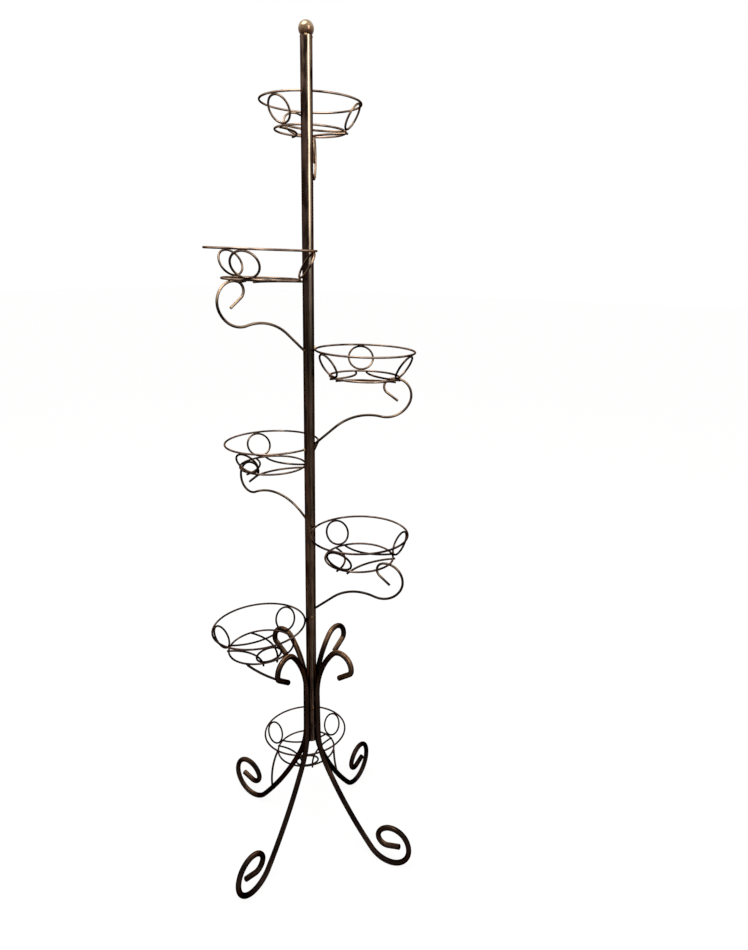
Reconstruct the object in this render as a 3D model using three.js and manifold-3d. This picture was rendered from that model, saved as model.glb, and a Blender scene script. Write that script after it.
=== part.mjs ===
// A free-standing plant stand of bent and welded steel rod.
//
// One round post carries seven wire baskets that climb round it, and four scroll legs hold it up.
// Millimetres, +Z up. The origin is on the floor under the post's axis, and the legs point
// roughly along +X, +Y, -X and -Y.

import * as THREE from "three";
import { mergeVertices } from "three/addons/utils/BufferGeometryUtils.js";
import Module from "manifold-3d";

const wasm = await Module();
wasm.setup();

// ---------------------------------------------------------------- driving dimensions

const CLEARANCE = 0.3; // between pieces that are welded together on the real stand
const WELD_SINK = 0.3; // how far a bow is pressed into its ring by the spot weld
const CHORD_ERROR = 0.7; // how far a facet may leave the true bend

const POST_RADIUS = 12.5;
const POST_WALL = 1.5;
const POST_BOTTOM = 292; // the tube ends above the floor, between the legs
const POST_TOP = 1918.7;
const BALL_RADIUS = 15.9;

const WIRE_RADIUS = 2; // every wire of a basket
const RIM_RADIUS = 112; // to the middle of the wire, as the two below
const BASE_RADIUS = 79;
const BASKET_DEPTH = 58; // from the rim down to the base ring
const BOW_INSET = 33; // how near a bow comes to the basket's middle
const BOW_STUB = 5; // how far a bow's ends stick out past the base ring
const BOW_TO_LINK = 9; // degrees between a bow's end and the foot of a link ring

const ARM_RADIUS = 2.5;
const ARM_RISE = 39.5; // degrees, from the level, where the arm leaves the post
const ARM_CROWN_INSET = 10; // the top of the loop lies this far inside the base ring's wire
const ARM_CLEARANCE = 0.8; // under the base ring, to the loop's middle line less its radius
const ARM_LOOP_RADIUS = 40.5;
const ARM_EYE_RADIUS = 18;
const ARM_TIP = 32;
const ARM_SAG_RADIUS = 120;
const ARM_TURN_RADIUS = 57.5;
const FLAT_SAG_RADIUS = 150;
const FLAT_TURN_RADIUS = 36;
const ARM_SWEEP = [
  { turn: -54, radius: ARM_SAG_RADIUS },
  { turn: 78, radius: ARM_TURN_RADIUS },
];
const FLAT_SWEEP = [
  { turn: -64.5, radius: FLAT_SAG_RADIUS },
  { turn: 88.5, radius: FLAT_TURN_RADIUS },
]; // basket 4's arm reaches the post higher up
const ARM_CURL = [
  { turn: 130.5, radius: ARM_LOOP_RADIUS },
  { turn: 129, radius: ARM_EYE_RADIUS },
  { run: ARM_TIP },
];

const LEG_RADIUS = 6;
const LEG_STRAIGHT = 107; // the run that lies along the post
const FOOT_FLAT = 0.8; // depth of the flat that the foot is ground to where it stands
const FLARE_RADIUS = 210; // where the foot leaves the post
const SHIN_RADIUS = 975;
const HEEL_RADIUS = 63.5;
const SCROLL_RADIUS = 55; // the scroll's three turns, each tighter than the last
const SCROLL_TOP_RADIUS = 42.5;
const SCROLL_EYE_RADIUS = 22;
const SCROLL_TIP = 33.5;
const FOOT_BENDS = [
  { turn: 26.5, radius: FLARE_RADIUS },
  { turn: 14.5, radius: SHIN_RADIUS },
  { turn: 52.5, radius: HEEL_RADIUS },
  { turn: 118, radius: SCROLL_RADIUS },
  { turn: 125, radius: SCROLL_TOP_RADIUS },
  { turn: 129, radius: SCROLL_EYE_RADIUS },
  { run: SCROLL_TIP },
];
const HOOK_NECK_RADIUS = 196;
const HOOK_CROWN_RADIUS = 33.7;
const HOOK_CURL_RADIUS = 12.8;
const HOOK_TIP = 40;
const HOOK_BENDS = [
  { turn: -41.5, radius: HOOK_NECK_RADIUS },
  { turn: -143, radius: HOOK_CROWN_RADIUS },
  { turn: -50, radius: HOOK_CURL_RADIUS },
  { run: HOOK_TIP },
];

// azimuth of the foot round the post, and how far the hook is turned from it, in degrees
const LEGS = [
  { azimuth: 5, hookTurn: -10 },
  { azimuth: 91, hookTurn: -7 },
  { azimuth: 176, hookTurn: -2 },
  { azimuth: 268, hookTurn: 0 },
];

// The heights of the rims above the floor. The top one hangs from the post's top, and the sixth is
// raised where it has to be, to clear the legs.
const TOP_RIM_DROP = 95.7;
const SECOND_RIM = 1508;
const THIRD_RIM = 1294.5;
const FOURTH_RIM = 1063.5;
const FIFTH_RIM = 880.6;
const SIXTH_RIM = 626.8;
const SEVENTH_RIM = 203.5;

// azimuth round the post, height of the rim, where the link rings stand (counted from the outward
// direction), and the small outward and sideways lean of a hand-welded basket, in degrees
const BASKETS = [
  { azimuth: 122.7, height: POST_TOP - TOP_RIM_DROP, links: [24, 140, 257.5], lean: -0.2, roll: -0.9 },
  { azimuth: 258.3, height: SECOND_RIM, links: [33.5, 152.5, 273], lean: -0.1, roll: 1.3 },
  { azimuth: 39.8, height: THIRD_RIM, links: [88, 205, 326.5], lean: 0.9, roll: -0.6 },
  { azimuth: 172.1, height: FOURTH_RIM, links: [100, 220, 338], lean: 0.6, roll: 1.3 },
  { azimuth: 8.9, height: FIFTH_RIM, links: [31.5, 147, 266], lean: -0.3, roll: -1 },
  { azimuth: 220.1, height: SIXTH_RIM, links: [102.5, 228.5, 348.5], lean: 4.1, roll: -0.8 },
  { azimuth: 133.4, height: SEVENTH_RIM, links: [58.5, 176, 300.5], lean: 2.5, roll: 1.9 },
];
const CROSSING_INSET = 28;
const CROSSING_BOW = { middle: 202.5, spread: 86.5, inset: CROSSING_INSET }; // across basket 6's other bows

// the arm of each upper basket, and how far it is turned from the basket's middle, in degrees
const ARMS = [
  { sweep: ARM_SWEEP, turn: -1 },
  { sweep: ARM_SWEEP, turn: 0 },
  { sweep: ARM_SWEEP, turn: 0 },
  { sweep: FLAT_SWEEP, turn: 2 },
  { sweep: ARM_SWEEP, turn: 0 },
];

// Each stay of the two lowest baskets runs from an angle of the base ring to the tip of a hook, or to
// a height on a foot. It sags down, or bows out to the side at an azimuth.
const STAY_RADIUS = 2.5;
const STAY_6_FROM_TIP = 19.8; // along the hook's straight tip
const STAY_6_SAG = 5;
const LEFT_STAY_HEIGHT = 66;
const LEFT_STAY_BOW = 8.06;
const RIGHT_STAY_HEIGHT = 98;
const RIGHT_STAY_BOW = 2.24;
const STAYS = [
  { name: "basket_6_stay", basket: 5, angle: 64.5, leg: 3, fromTip: STAY_6_FROM_TIP },
  { name: "basket_7_stay_left", basket: 6, angle: 80.5, leg: 2, height: LEFT_STAY_HEIGHT },
  { name: "basket_7_stay_right", basket: 6, angle: 254.5, leg: 1, height: RIGHT_STAY_HEIGHT },
];

const SIDES = { post: 24, ball: 16, leg: 8, arm: 6, rim: 5, base: 6, link: 5, stay: 6 };
const RING_STEPS = { rim: 33, base: 24, link: 12 };

// ---------------------------------------------------------------- finish

const COLOURS = { post: 0x4a3426, ball: 0x8a6a3c, leg: 0x35251c, wire: 0x5a4431, arm: 0x3a2a1f };

function patina(colour) {
  return new THREE.MeshStandardMaterial({ color: colour, roughness: 0.42, metalness: 0.75 });
}

function piece(name, geometry, colour) {
  const mesh = new THREE.Mesh(geometry, patina(colour));
  mesh.name = name;
  return mesh;
}

// ---------------------------------------------------------------- solids

function toSolid(geometry) {
  const bare = geometry.clone();
  bare.deleteAttribute("normal");
  bare.deleteAttribute("uv");
  const merged = mergeVertices(bare, 1e-4);
  const vertProperties = new Float32Array(merged.attributes.position.array);
  const triVerts = new Uint32Array(merged.index.array);
  return new wasm.Manifold(new wasm.Mesh({ numProp: 3, vertProperties, triVerts }));
}

function toGeometry(solid) {
  const mesh = solid.getMesh();
  const geometry = new THREE.BufferGeometry();
  geometry.setAttribute("position", new THREE.BufferAttribute(mesh.vertProperties, 3));
  geometry.setIndex(new THREE.BufferAttribute(mesh.triVerts, 1));
  geometry.computeVertexNormals();
  return geometry;
}

const join = (...geometries) =>
  toGeometry(geometries.map(toSolid).reduce((whole, next) => whole.add(next)));

const cut = (geometry, tool) => toGeometry(toSolid(geometry).subtract(toSolid(tool)));

// ---------------------------------------------------------------- bent rod

const radians = THREE.MathUtils.degToRad;

// The middle line of a rod that is bent in one plane: a list of (out, up) points. A move is a
// straight run, or a turn of so many degrees at a radius, positive to the left.
function bend(start, heading, moves) {
  const points = [start.clone()];
  let at = start.clone();
  let angle = radians(heading);
  for (const move of moves) {
    if (move.run !== undefined) {
      at = at.clone().add(new THREE.Vector2(Math.cos(angle), Math.sin(angle)).multiplyScalar(move.run));
      points.push(at);
      continue;
    }
    const turn = radians(move.turn);
    const side = Math.sign(turn);
    const centre = new THREE.Vector2(-Math.sin(angle), Math.cos(angle));
    centre.multiplyScalar(side * move.radius).add(at);
    const steps = facets(Math.abs(turn), move.radius);
    for (let i = 1; i <= steps; i += 1) {
      const a = angle + (turn * i) / steps;
      at = new THREE.Vector2(Math.sin(a), -Math.cos(a)).multiplyScalar(side * move.radius).add(centre);
      points.push(at);
    }
    angle += turn;
  }
  return points;
}

const facets = (sweep, radius) => Math.ceil(sweep / (2 * Math.acos(1 - CHORD_ERROR / radius)));

// The middle line of a rod that is bent to one arc between two points, and bulges by a vector.
function arc(from, to, bulge) {
  const middle = from.clone().add(to).multiplyScalar(0.5);
  const half = from.distanceTo(to) / 2;
  const along = to.clone().sub(from).normalize();
  const across = bulge.clone().projectOnPlane(along).normalize();
  const rise = bulge.length();
  const radius = (half ** 2 + rise ** 2) / (2 * rise);
  const sweep = 2 * Math.asin(half / radius);
  const steps = facets(sweep, radius);
  return Array.from({ length: steps + 1 }, (_, i) => {
    const a = sweep * (i / steps - 0.5);
    const point = middle.clone().addScaledVector(across, rise - radius * (1 - Math.cos(a)));
    return point.addScaledVector(along, radius * Math.sin(a));
  });
}

const polar = (radius, angle, z) =>
  new THREE.Vector3(radius * Math.cos(radians(angle)), radius * Math.sin(radians(angle)), z);

// A curve with one section at each of its points, so that the facets go where the bends are.
class RodLine extends THREE.Curve {
  constructor(points) {
    super();
    this.points = points;
  }

  getPoint(t) {
    const last = this.points.length - 1;
    const index = Math.min(Math.floor(t * last + 1e-6), last - 1);
    return this.points[index].clone().lerp(this.points[index + 1], t * last - index);
  }

  getPointAt(u) {
    return this.getPoint(u);
  }

  getTangentAt(u) {
    const last = this.points.length - 1;
    const index = Math.round(u * last);
    const tangent = new THREE.Vector3();
    if (index > 0) tangent.add(this.direction(index - 1));
    if (index < last) tangent.add(this.direction(index));
    return tangent.normalize();
  }

  direction(index) {
    return this.points[index + 1].clone().sub(this.points[index]).normalize();
  }
}

function rod(points, radius, sides) {
  const corners = Array.from({ length: sides }, (_, i) => {
    const a = Math.PI / 2 + (2 * Math.PI * i) / sides;
    return new THREE.Vector2(radius * Math.cos(a), radius * Math.sin(a));
  });
  const extrudePath = new RodLine(points);
  const steps = points.length - 1;
  return new THREE.ExtrudeGeometry(new THREE.Shape(corners), { steps, extrudePath, bevelEnabled: false });
}

// The points where a line comes to a level, measured along one axis.
function crossings(line, axis, level) {
  return line.slice(1).flatMap((p, i) => {
    const t = (level - line[i][axis]) / (p[axis] - line[i][axis]);
    return t >= 0 && t < 1 ? [line[i].clone().lerp(p, t)] : [];
  });
}

const highest = (points) => points.reduce((a, b) => (b.y > a.y ? b : a));
const lowest = (points) => points.reduce((a, b) => (b.y < a.y ? b : a));

// ---------------------------------------------------------------- post

function postTube() {
  const inner = POST_RADIUS - POST_WALL;
  const profile = [
    new THREE.Vector2(inner, POST_BOTTOM),
    new THREE.Vector2(POST_RADIUS, POST_BOTTOM),
    new THREE.Vector2(POST_RADIUS, POST_TOP),
    new THREE.Vector2(inner, POST_TOP),
    new THREE.Vector2(inner, POST_BOTTOM),
  ];
  return new THREE.LatheGeometry(profile, SIDES.post).rotateX(Math.PI / 2);
}

// The ball rests in the tube's mouth, on its inner edge.
function ballHeight() {
  const mouth = POST_RADIUS - POST_WALL;
  return POST_TOP + Math.sqrt((BALL_RADIUS + CLEARANCE) ** 2 - mouth ** 2);
}

function postCutter() {
  const length = POST_TOP - POST_BOTTOM;
  const cutter = new THREE.CylinderGeometry(
    POST_RADIUS + CLEARANCE,
    POST_RADIUS + CLEARANCE,
    length,
    SIDES.post,
  );
  return cutter.rotateX(Math.PI / 2).translate(0, 0, POST_BOTTOM + length / 2);
}

// ---------------------------------------------------------------- legs

// One leg's middle line in its own plane: the hook from its tip, then the foot to the scroll's
// tip. It is lowered until the ground foot stands on the floor.
function legLine() {
  const out = POST_RADIUS + CLEARANCE + LEG_RADIUS;
  const hook = bend(new THREE.Vector2(out, LEG_STRAIGHT), 90, HOOK_BENDS).reverse();
  const foot = bend(new THREE.Vector2(out, 0), -90, FOOT_BENDS);
  const lift = new THREE.Vector2(0, LEG_RADIUS - FOOT_FLAT - lowest(foot).y);
  [...hook, ...foot].forEach((p) => p.add(lift));
  return { hook, foot };
}

const LEG_LINE = legLine();

// The hook is turned about the post's axis, and the straight run takes up the turn.
const hookPoints = (leg) => LEG_LINE.hook.map((p) => polar(p.x, leg.hookTurn, p.y));
const footPoints = () => LEG_LINE.foot.map((p) => polar(p.x, 0, p.y));
const legPoints = (leg) => [...hookPoints(leg), ...footPoints()];

// Points close together along the middle lines of all the legs, in the stand's frame.
const LEG_SAMPLES = LEGS.flatMap((leg) => {
  const line = new RodLine(legPoints(leg));
  const turn = new THREE.Euler(0, 0, radians(leg.azimuth));
  return line.getPoints(1000).map((p) => p.applyEuler(turn));
});

function legSolid(leg) {
  const size = 4 * RIM_RADIUS;
  const floor = new THREE.BoxGeometry(2 * size, size, size).translate(0, 0, -size / 2);
  return cut(rod(legPoints(leg), LEG_RADIUS, SIDES.leg), floor);
}

// ---------------------------------------------------------------- baskets

// A basket's own frame: its origin at the middle of the rim, +X away from the post.
function frameAt(spec, distance) {
  const frame = new THREE.Group();
  const azimuth = radians(spec.azimuth);
  frame.position.set(distance * Math.cos(azimuth), distance * Math.sin(azimuth), spec.height);
  frame.rotation.set(-radians(spec.roll), radians(spec.lean), azimuth, "ZYX");
  frame.updateMatrix();
  return frame;
}

function legsSeenFrom(spec, distance) {
  const inverse = frameAt(spec, distance).matrix.invert();
  return LEG_SAMPLES.map((p) => p.clone().applyMatrix4(inverse));
}

// How near the middle line of a ring, which a matrix puts in its place, comes to some points.
function ringTo(points, radius, matrix = new THREE.Matrix4()) {
  const inverse = matrix.clone().invert();
  const local = points.map((p) => p.clone().applyMatrix4(inverse));
  return Math.min(...local.map((p) => Math.hypot(Math.hypot(p.x, p.y) - radius, p.z)));
}

// How far a basket's middle is from the post's axis: the rim touches the post or, below the
// post's end, the back of the two nearest legs.
function basketDistance(spec) {
  if (spec.height > POST_BOTTOM) {
    return POST_RADIUS + CLEARANCE + WIRE_RADIUS + RIM_RADIUS * Math.cos(radians(spec.lean));
  }
  const wanted = LEG_RADIUS + CLEARANCE + WIRE_RADIUS;
  let distance = 2 * RIM_RADIUS;
  while (ringTo(legsSeenFrom(spec, distance), RIM_RADIUS) > wanted) distance -= CLEARANCE / 4;
  return distance;
}

// A ring of wire, whose corners lie as far outside the true ring as its flats lie inside.
function ring(radius, steps, sides, wire = WIRE_RADIUS) {
  const corner = (2 * radius) / (1 + Math.cos(Math.PI / steps));
  return new THREE.TorusGeometry(corner, wire, sides, steps);
}

const FLAT = WIRE_RADIUS * Math.cos(Math.PI / SIDES.base); // from a wire's middle to its flat side
const BOW_DROP = 2 * FLAT - WELD_SINK;

// The bows' places: each lies between two link rings, apart from the one that crosses.
function bowPlaces(spec) {
  const places = spec.links.map((from, i) => {
    const to = i + 1 < spec.links.length ? spec.links[i + 1] : spec.links[0] + 360;
    return { middle: (from + to) / 2, spread: (to - from) / 2 - BOW_TO_LINK, inset: BOW_INSET };
  });
  return spec === BASKETS[5] ? [CROSSING_BOW, ...places.slice(1)] : places;
}

// A bow: a wire bent to an arc, whose ends stick out a little past the base ring.
function bowLine({ middle, spread, inset }) {
  const end = BASE_RADIUS + BOW_STUB;
  const tips = [middle - spread, middle + spread].map((a) => polar(end, a, -BOW_DROP));
  return arc(...tips, polar(inset - end * Math.cos(radians(spread)), middle, 0));
}

const bow = (place) => rod(bowLine(place), WIRE_RADIUS, SIDES.base);

// The base ring and the three bows that are spot-welded under it, which carry the pot.
function baseGrille(spec) {
  const bows = bowPlaces(spec).map(bow);
  return join(ring(BASE_RADIUS, RING_STEPS.base, SIDES.base), ...bows).translate(0, 0, -BASKET_DEPTH);
}

// A small ring that leans between the rim and the base ring and touches both.
const LINK_RADIUS = Math.hypot(RIM_RADIUS - BASE_RADIUS, BASKET_DEPTH) / 2 - 2 * WIRE_RADIUS - CLEARANCE;

function linkPlace(angle) {
  const lean = Math.PI / 2 + Math.atan2(RIM_RADIUS - BASE_RADIUS, BASKET_DEPTH);
  const place = new THREE.Matrix4().makeRotationZ(radians(angle));
  place.multiply(new THREE.Matrix4().makeTranslation((RIM_RADIUS + BASE_RADIUS) / 2, 0, -BASKET_DEPTH / 2));
  return place.multiply(new THREE.Matrix4().makeRotationY(lean));
}

function linkRing(angle) {
  const geometry = new THREE.TorusGeometry(LINK_RADIUS, WIRE_RADIUS, SIDES.link, RING_STEPS.link);
  return geometry.applyMatrix4(linkPlace(angle));
}

// How near the middle lines of a basket's lower wires come to the middle lines of the legs.
function wiresToLegs(spec) {
  const legs = legsSeenFrom(spec, basketDistance(spec)).filter((p) => p.length() < 2 * RIM_RADIUS);
  const base = ringTo(legs, BASE_RADIUS, new THREE.Matrix4().makeTranslation(0, 0, -BASKET_DEPTH));
  const links = spec.links.map((angle) => ringTo(legs, LINK_RADIUS, linkPlace(angle)));
  const bows = bowPlaces(spec).flatMap((place) => new RodLine(bowLine(place)).getPoints(60));
  bows.forEach((p) => p.setZ(p.z - BASKET_DEPTH));
  const near = legs.map((p) => Math.min(...bows.map((b) => b.distanceTo(p))));
  return Math.min(base, ...links, ...near);
}

// The sixth basket sits among the legs' hooks, so it is raised until its wires clear them.
function clearOfLegs(spec) {
  const legFlat = LEG_RADIUS * Math.cos(Math.PI / SIDES.leg);
  while (wiresToLegs(spec) < legFlat + CLEARANCE + FLAT) spec.height += LEG_RADIUS;
}

function basket(number, spec) {
  const frame = frameAt(spec, basketDistance(spec));
  const name = `basket_${number}`;
  frame.add(piece(`${name}_rim`, ring(RIM_RADIUS, RING_STEPS.rim, SIDES.rim), COLOURS.wire));
  frame.add(piece(`${name}_base`, baseGrille(spec), COLOURS.wire));
  spec.links.forEach((angle, i) => frame.add(piece(`${name}_link_${i + 1}`, linkRing(angle), COLOURS.wire)));
  return frame;
}

// ---------------------------------------------------------------- arms and stays

const STAY_BULGES = [
  new THREE.Vector3(0, 0, -STAY_6_SAG),
  polar(LEFT_STAY_BOW, 209.7, 0),
  polar(RIGHT_STAY_BOW, 206.6, 0),
];

// A point under a basket's base ring, at an angle from the outward direction, for the middle of a
// rod that touches the ring there.
function underBase(spec, angle, radius) {
  const point = polar(BASE_RADIUS, angle, -BASKET_DEPTH - FLAT - ARM_CLEARANCE - radius);
  return point.applyMatrix4(frameAt(spec, basketDistance(spec)).matrix);
}

// The arm's loop rests under the base ring's outer side, and its first run is as long as it needs
// to be to reach there from the post.
function armPoints(spec, sweep) {
  const seat = underBase(spec, 0, ARM_RADIUS);
  const reach = Math.hypot(seat.x, seat.y);
  const start = new THREE.Vector2(POST_RADIUS - ARM_RADIUS, 0);
  const bends = [...sweep, ...ARM_CURL];
  const crown = highest(bend(start, ARM_RISE, bends));
  const run = (reach - ARM_CROWN_INSET - crown.x) / Math.cos(radians(ARM_RISE));
  const line = bend(start, ARM_RISE, [{ run }, ...bends]);
  const lift = seat.z - highest(crossings(line, "x", reach)).y;
  return line.map((p) => new THREE.Vector3(p.x, 0, p.y + lift));
}

function arm(number, spec, { sweep, turn }) {
  const geometry = rod(armPoints(spec, sweep), ARM_RADIUS, SIDES.arm);
  const mesh = piece(`arm_${number}`, cut(geometry, postCutter()), COLOURS.arm);
  mesh.rotation.z = radians(spec.azimuth + turn);
  return mesh;
}

// A stay from under a base ring's wire to the middle of a leg, with its ends cut to the round of
// both.
function stay(spec, bulge) {
  const basket = frameAt(BASKETS[spec.basket], basketDistance(BASKETS[spec.basket]));
  const leg = LEGS[spec.leg];
  const turn = new THREE.Euler(0, 0, radians(leg.azimuth));
  const [tip, curl] = hookPoints(leg);
  const onTip = () => tip.lerp(curl, spec.fromTip / HOOK_TIP);
  const to = (spec.fromTip ? onTip() : crossings(footPoints(), "z", spec.height)[0]).applyEuler(turn);
  const under = polar(BASE_RADIUS, spec.angle, -BASKET_DEPTH - WIRE_RADIUS);
  const from = under.applyMatrix4(basket.matrix);
  const wire = ring(BASE_RADIUS, RING_STEPS.base, SIDES.base, WIRE_RADIUS + CLEARANCE);
  wire.translate(0, 0, -BASKET_DEPTH).applyMatrix4(basket.matrix);
  const limb = rod(legPoints(leg), LEG_RADIUS + CLEARANCE, SIDES.leg).rotateZ(radians(leg.azimuth));
  const bar = rod(arc(from, to, bulge), STAY_RADIUS, SIDES.stay);
  return piece(spec.name, cut(cut(bar, wire), limb), COLOURS.arm);
}

// ---------------------------------------------------------------- assembly

const stand = new THREE.Group();
stand.add(piece("post_tube", postTube(), COLOURS.post));

const ball = new THREE.SphereGeometry(BALL_RADIUS, SIDES.ball, SIDES.ball / 2);
stand.add(piece("ball_finial", ball.rotateX(Math.PI / 2).translate(0, 0, ballHeight()), COLOURS.ball));

LEGS.forEach((leg, i) => {
  const mesh = piece(`leg_${i + 1}`, legSolid(leg), COLOURS.leg);
  mesh.rotation.z = radians(leg.azimuth);
  stand.add(mesh);
});

clearOfLegs(BASKETS[5]);
BASKETS.forEach((spec, i) => stand.add(basket(i + 1, spec)));
ARMS.forEach((spec, i) => stand.add(arm(i + 1, BASKETS[i], spec)));
STAYS.forEach((spec, i) => stand.add(stay(spec, STAY_BULGES[i])));

export default stand;
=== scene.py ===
# %% [markdown]
# # A plant stand of bent and welded rod
# The real stand is a steel tube with a ball on top, four legs bent from 12 mm round bar, and seven
# wire baskets that climb round the tube like steps. All of it is coated in a nearly black bronze
# paint, and gold is rubbed over the high places by hand.
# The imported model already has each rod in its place, but with flat facets. Here every rod is drawn
# again from the same bends, as round as a real one, and the welds and the finish are added.

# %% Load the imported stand
import math
from collections import namedtuple

import bpy
from mathutils import Matrix, Vector, noise


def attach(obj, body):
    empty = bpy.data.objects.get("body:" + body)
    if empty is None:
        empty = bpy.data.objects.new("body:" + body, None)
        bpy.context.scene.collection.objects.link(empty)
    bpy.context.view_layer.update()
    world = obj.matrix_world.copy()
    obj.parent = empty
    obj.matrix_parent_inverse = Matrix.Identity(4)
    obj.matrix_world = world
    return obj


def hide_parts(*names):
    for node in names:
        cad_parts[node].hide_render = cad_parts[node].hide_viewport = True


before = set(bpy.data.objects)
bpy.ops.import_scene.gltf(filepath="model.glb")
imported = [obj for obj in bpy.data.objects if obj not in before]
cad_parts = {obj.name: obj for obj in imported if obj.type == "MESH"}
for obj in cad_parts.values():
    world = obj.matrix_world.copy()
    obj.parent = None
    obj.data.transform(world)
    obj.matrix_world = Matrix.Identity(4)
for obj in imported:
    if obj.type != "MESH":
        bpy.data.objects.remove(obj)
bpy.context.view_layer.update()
print("packed pieces:", len(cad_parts))

# %% [markdown]
# ## The camera
# A photograph fixes where its camera stood: the post leans and narrows by the rules of
# perspective, and the seven rims are seven known circles. A camera can be moved by eye until it
# looks right, but this one was worked out from those circles, so that every other piece could be
# judged against the photograph. A wide lens, from a metre and a half away, makes the legs look
# large and the top small.

# %% Place the camera
FILM, LENS, LENS_SHIFT = 36, 26.32, -0.0251  # mm, mm, and a share of the picture's height
CAMERA_PLACE = (0.9232, -1.2476, 1.4843)  # m
HEADING, DOWN, ROLL = 121.007, 15.134, 0.969  # degrees
FARTHEST = 100  # m; nothing beyond it is drawn


def aim(heading, down, roll):
    """The camera's turn, from the compass direction it looks in, how far down, and its roll."""
    a, e, r = map(math.radians, (heading, down, roll))
    forward = Vector((math.cos(a) * math.cos(e), math.sin(a) * math.cos(e), -math.sin(e)))
    level = Vector((math.sin(a), -math.cos(a), 0))
    upright = level.cross(forward)
    right = level * math.cos(r) + upright * math.sin(r)
    up = upright * math.cos(r) - level * math.sin(r)
    return Matrix((right, up, -forward)).transposed()


camera = bpy.data.objects.new("camera", bpy.data.cameras.new("camera"))
camera.data.sensor_fit = "AUTO"
camera.data.sensor_width = FILM
camera.data.lens = LENS
camera.data.shift_y = LENS_SHIFT
camera.data.clip_end = FARTHEST
camera.matrix_world = Matrix.Translation(CAMERA_PLACE) @ aim(HEADING, DOWN, ROLL).to_4x4()
bpy.context.scene.collection.objects.link(camera)
bpy.context.scene.camera = camera
print("camera stands", round(camera.location.xy.length, 2), "m from the post")

# %% [markdown]
# ## Nodes in one line each
# A procedural material is a small network of nodes. It can be wired by hand in the editor, but in
# a script one function is enough: it adds a node, sets it, and links what comes from other nodes,
# so that each material below reads from top to bottom.

# %% Colours, scales and nodes
def colour(code):
    """An sRGB hex colour as the linear one that the shaders use."""
    parts = [int(code[i:i + 2], 16) / 255 for i in (1, 3, 5)]
    return (*[c / 12.92 if c < 0.04045 else ((c + 0.055) / 1.055) ** 2.4 for c in parts], 1)


def per_metre(mm):
    """A pattern's scale, from the real size of one of its features in millimetres."""
    return 1000 / mm


def add(tree, kind, settings=None, stops=(), **inputs):
    """Adds a node, with its settings and a ramp's (place, value) stops.

    Each input is a value or the socket that it is linked from; _ stands for a space."""
    node = tree.nodes.new(kind)
    for name, value in (settings or {}).items():
        setattr(node, name, value)
    for name, value in inputs.items():
        key = name.replace("_", " ").strip()
        socket = node.inputs[int(key)] if key.isdigit() else node.inputs[key]
        if isinstance(value, bpy.types.NodeSocket):
            tree.links.new(value, socket)
        else:
            socket.default_value = value
    while stops and len(node.color_ramp.elements) < len(stops):
        node.color_ramp.elements.new(0.5)
    for element, (place, value) in zip(node.color_ramp.elements if stops else (), stops):
        element.position = place
        element.color = value if isinstance(value, tuple) else (value, value, value, 1)
    return node


def new_material(name):
    material = bpy.data.materials.new(name)
    material.use_nodes = True
    material.node_tree.nodes.clear()
    return material, material.node_tree


print("dark bronze paint is", [round(c, 3) for c in colour("#2b1d18")[:3]], "in linear light")

# %% [markdown]
# ## The patina
# The finish is a "rubbed bronze": a satin paint full of metal flakes, almost black with a little
# red in it, with gold wax rubbed on by hand. Wiping does three things that the eye looks for. The
# gold stays on what faces up and out, it runs in streaks along the rod, and it comes in patches as
# long as a hand's stroke, with soot-dark paint between them. The gold on what faces up is partly
# painted highlight, and so is the gold that grows with height up the stand.
# A painted picture could show this too, but it would stretch at the bends. Here each rod stores,
# at every point, how many millimetres it is from the rod's end and where it is round the rod. The
# streaks are drawn in those coordinates, so that they follow each bend.

# %% What the cloth, the flakes and the painted highlight do
STREAK_WIDTH = 1.5  # mm, round the rod
PATCH_LENGTH = 1.6  # strokes of the cloth
FLAKE = 0.8  # mm: real flakes are 0.1 mm, and these are drawn coarser so that they show at all
FLAKE_HEIGHT = 0.0002  # m: how far the flakes can stand out
WAX_AND_SHEEN_ON_TOPS, IN_PATCHES, SHEEN_PER_METRE_UP = 0.32, 0.6, 0.42  # how much each adds to the wax and painted highlight
GOLD_FIRST, GOLD_FULL, GOLD_PER_AMOUNT = 1.62, 2.04, 0.3  # the wax where gold shows, and covers
NOISE_LOW, NOISE_HIGH = 0.3, 0.7  # nearly all of a noise's values lie between these
SOOT_AT, GROUND_AT = 0.38, 0.62  # where in the patches' noise the paint is all soot, and clean
POLISHED, GRAINY = 0.06, 0.08  # how much smoother and rougher than the mean the paint gets
GRIT = 0.15  # how much of the flakes' height is felt by the light
EDGE_TINT = "#6a5548"  # the paint's binder: no edge flares white, as it would on bare metal

print("streaks are", STREAK_WIDTH, "mm wide, and the flakes are drawn", FLAKE, "mm wide")

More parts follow.
